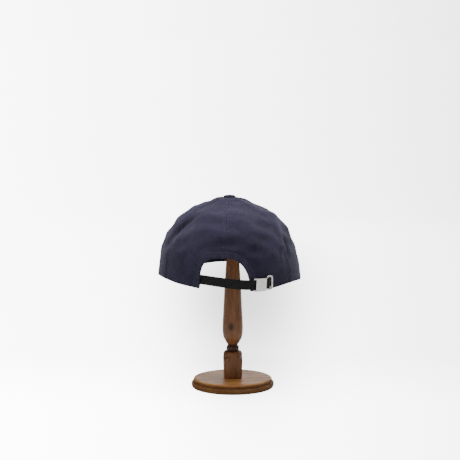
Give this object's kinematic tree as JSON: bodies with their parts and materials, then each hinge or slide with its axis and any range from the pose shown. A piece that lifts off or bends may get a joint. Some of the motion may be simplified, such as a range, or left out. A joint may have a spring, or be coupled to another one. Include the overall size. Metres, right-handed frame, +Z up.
{
  "type": "baseball cap on wooden display stand",
  "caption": "Cotton panelled cap with a bowed visor, an arched back opening and a strap with a lever clasp, resting on a turned wooden stand with a round base.",
  "frame": {"origin": "centre of the stand base's flat underside, on the surface that it stands on", "axes": "+Z up the stand's post, +Y towards the visor's front edge, -Y towards the strap at the back, +X to the wearer's right"},
  "size_m": [0.1834, 0.2692, 0.2497],
  "materials": {
    "navy_cotton": "matte twill",
    "dark_lining": "matte",
    "black_strap": "satin",
    "silver_metal": "brushed",
    "brown_wood": "satin varnish"
  },
  "bodies": {
    "cap_on_stand": {"panel_front_left": "navy_cotton", "panel_front_right": "navy_cotton", "panel_side_left": "navy_cotton", "panel_side_right": "navy_cotton", "panel_back_left": "navy_cotton", "panel_back_right": "navy_cotton", "top_button": "navy_cotton", "visor": "navy_cotton", "back_arch_binding": "navy_cotton", "sweatband": "dark_lining", "strap": "black_strap", "clasp_frame": "silver_metal", "strap_eyelet": "silver_metal", "stand_base": "brown_wood", "stand_post": "brown_wood", "stand_head": "brown_wood"},
    "clasp_lever": {"clasp_lever": "silver_metal"}
  },
  "joints": [
    {"name": "clasp_lever_hinge", "type": "hinge", "parent": "cap_on_stand", "child": "clasp_lever", "pos_m": [0.02736, -0.09438, 0.1481], "axis": [-0.0446, 0.1212, -0.9916], "range_deg": [0, 92]}
  ]
}
